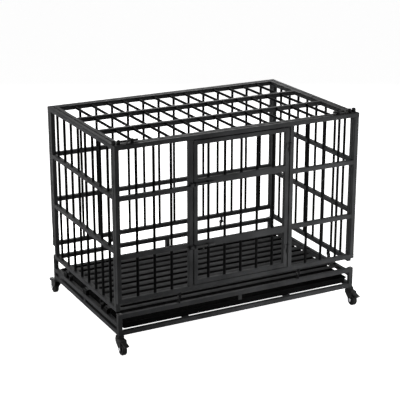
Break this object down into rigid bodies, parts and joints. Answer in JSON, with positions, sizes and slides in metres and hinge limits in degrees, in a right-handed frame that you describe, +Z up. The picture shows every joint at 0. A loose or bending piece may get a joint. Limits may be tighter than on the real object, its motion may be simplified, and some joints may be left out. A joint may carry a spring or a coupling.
{
  "type": "dog crate",
  "caption": "Steel dog crate of square tube and round bars with a hinged lid, a front door with sliding bolts, a slatted floor, a pull-out tray and braked casters",
  "frame": {"origin": "on the floor, under the middle of the crate", "axes": "X along the length, front with the door at -Y, Z up"},
  "size_m": [1.0844, 0.7976, 0.8387],
  "materials": {
    "frame_coat": "charcoal powder coat, satin",
    "bar_coat": "black powder coat, satin",
    "floor_coat": "charcoal powder coat on the floor sheet",
    "tray_plastic": "black moulded plastic",
    "cap_plastic": "black plastic",
    "caster_black": "black coated steel",
    "wheel_tyre": "black rubber",
    "zinc": "zinc plated",
    "bolt_black": "black coated steel rod"
  },
  "bodies": {
    "crate": {"base_end_left": "frame_coat", "base_end_right": "frame_coat", "base_rail_front_upper": "frame_coat", "base_rail_front_lower": "frame_coat", "base_rail_back_upper": "frame_coat", "base_rail_back_lower": "frame_coat", "tray_runners": "frame_coat", "leg_caps": "cap_plastic", "floor_slats": "floor_coat", "floor_bearers": "floor_coat", "front_left_frame": "frame_coat", "front_right_frame": "frame_coat", "front_top_rail": "frame_coat", "front_bottom_rail": "frame_coat", "front_left_bars": "bar_coat", "front_right_bars": "bar_coat", "back_frame": "frame_coat", "back_bars": "bar_coat", "left_frame": "frame_coat", "left_bars": "bar_coat", "right_frame": "frame_coat", "right_bars": "bar_coat", "panel_hinge_lugs_base": "frame_coat", "panel_hinge_lugs_panel": "frame_coat", "panel_hinge_bolts": "bolt_black", "lid_pivot_pins": "zinc", "lid_keepers": "frame_coat", "jamb_hinge_knuckles": "frame_coat", "door_keepers": "frame_coat", "caster_stems": "zinc"},
    "lid": {"lid_frame": "frame_coat", "lid_bars": "bar_coat", "lid_bolt_guides": "frame_coat"},
    "lid_bolt_left": {"lid_bolt_left": "bolt_black"},
    "lid_bolt_right": {"lid_bolt_right": "bolt_black"},
    "door": {"door_frame": "frame_coat", "door_bars": "bar_coat", "door_hinge_leaves": "frame_coat", "door_bolt_guides": "frame_coat"},
    "door_bolt_upper": {"door_bolt_upper": "bolt_black"},
    "door_bolt_lower": {"door_bolt_lower": "bolt_black"},
    "tray": {"tray": "tray_plastic"},
    "caster_fl": {"caster_fork_fl": "caster_black", "caster_axle_fl": "zinc"},
    "wheel_fl": {"caster_wheel_fl": "wheel_tyre"},
    "pedal_fl": {"caster_pedal_fl": "caster_black"},
    "caster_fr": {"caster_fork_fr": "caster_black", "caster_axle_fr": "zinc"},
    "wheel_fr": {"caster_wheel_fr": "wheel_tyre"},
    "pedal_fr": {"caster_pedal_fr": "caster_black"},
    "caster_bl": {"caster_fork_bl": "caster_black", "caster_axle_bl": "zinc"},
    "wheel_bl": {"caster_wheel_bl": "wheel_tyre"},
    "pedal_bl": {"caster_pedal_bl": "caster_black"},
    "caster_br": {"caster_fork_br": "caster_black", "caster_axle_br": "zinc"},
    "wheel_br": {"caster_wheel_br": "wheel_tyre"},
    "pedal_br": {"caster_pedal_br": "caster_black"}
  },
  "joints": [
    {"name": "lid_hinge", "type": "hinge", "parent": "crate", "child": "lid", "pos_m": [0, 0.30825, 0.81565], "axis": [-1, 0, 0], "range_deg": [0, 110]},
    {"name": "lid_bolt_left_slide", "type": "slide", "parent": "lid", "child": "lid_bolt_left", "axis": [-1, 0, 0], "range_m": [0, 0.02]},
    {"name": "lid_bolt_right_slide", "type": "slide", "parent": "lid", "child": "lid_bolt_right", "axis": [1, 0, 0], "range_m": [0, 0.02]},
    {"name": "door_hinge", "type": "hinge", "parent": "crate", "child": "door", "pos_m": [0.212, -0.3435, 0.513], "axis": [0, 0, 1], "range_deg": [0, 175]},
    {"name": "door_bolt_upper_slide", "type": "slide", "parent": "door", "child": "door_bolt_upper", "axis": [-1, 0, 0], "range_m": [0, 0.022]},
    {"name": "door_bolt_lower_slide", "type": "slide", "parent": "door", "child": "door_bolt_lower", "axis": [-1, 0, 0], "range_m": [0, 0.022]},
    {"name": "tray_slide", "type": "slide", "parent": "crate", "child": "tray", "axis": [0, -1, 0], "range_m": [0, 0.6]},
    {"name": "swivel_fl", "type": "hinge", "parent": "crate", "child": "caster_fl", "pos_m": [-0.52525, -0.32925, 0.066], "axis": [0, 0, 1], "continuous": true},
    {"name": "roll_fl", "type": "hinge", "parent": "caster_fl", "child": "wheel_fl", "pos_m": [-0.52525, -0.35325, 0.024], "axis": [1, 0, 0], "continuous": true},
    {"name": "brake_fl", "type": "hinge", "parent": "caster_fl", "child": "pedal_fl", "pos_m": [-0.52525, -0.35325, 0.056], "axis": [1, 0, 0], "range_deg": [0, 10]},
    {"name": "swivel_fr", "type": "hinge", "parent": "crate", "child": "caster_fr", "pos_m": [0.52525, -0.32925, 0.066], "axis": [0, 0, 1], "continuous": true},
    {"name": "roll_fr", "type": "hinge", "parent": "caster_fr", "child": "wheel_fr", "pos_m": [0.52525, -0.35325, 0.024], "axis": [1, 0, 0], "continuous": true},
    {"name": "brake_fr", "type": "hinge", "parent": "caster_fr", "child": "pedal_fr", "pos_m": [0.52525, -0.35325, 0.056], "axis": [1, 0, 0], "range_deg": [0, 10]},
    {"name": "swivel_bl", "type": "hinge", "parent": "crate", "child": "caster_bl", "pos_m": [-0.52525, 0.32925, 0.066], "axis": [0, 0, 1], "continuous": true},
    {"name": "roll_bl", "type": "hinge", "parent": "caster_bl", "child": "wheel_bl", "pos_m": [-0.52525, 0.35325, 0.024], "axis": [1, 0, 0], "continuous": true},
    {"name": "brake_bl", "type": "hinge", "parent": "caster_bl", "child": "pedal_bl", "pos_m": [-0.52525, 0.35325, 0.056], "axis": [-1, 0, 0], "range_deg": [0, 10]},
    {"name": "swivel_br", "type": "hinge", "parent": "crate", "child": "caster_br", "pos_m": [0.52525, 0.32925, 0.066], "axis": [0, 0, 1], "continuous": true},
    {"name": "roll_br", "type": "hinge", "parent": "caster_br", "child": "wheel_br", "pos_m": [0.52525, 0.35325, 0.024], "axis": [1, 0, 0], "continuous": true},
    {"name": "brake_br", "type": "hinge", "parent": "caster_br", "child": "pedal_br", "pos_m": [0.52525, 0.35325, 0.056], "axis": [-1, 0, 0], "range_deg": [0, 10]}
  ]
}
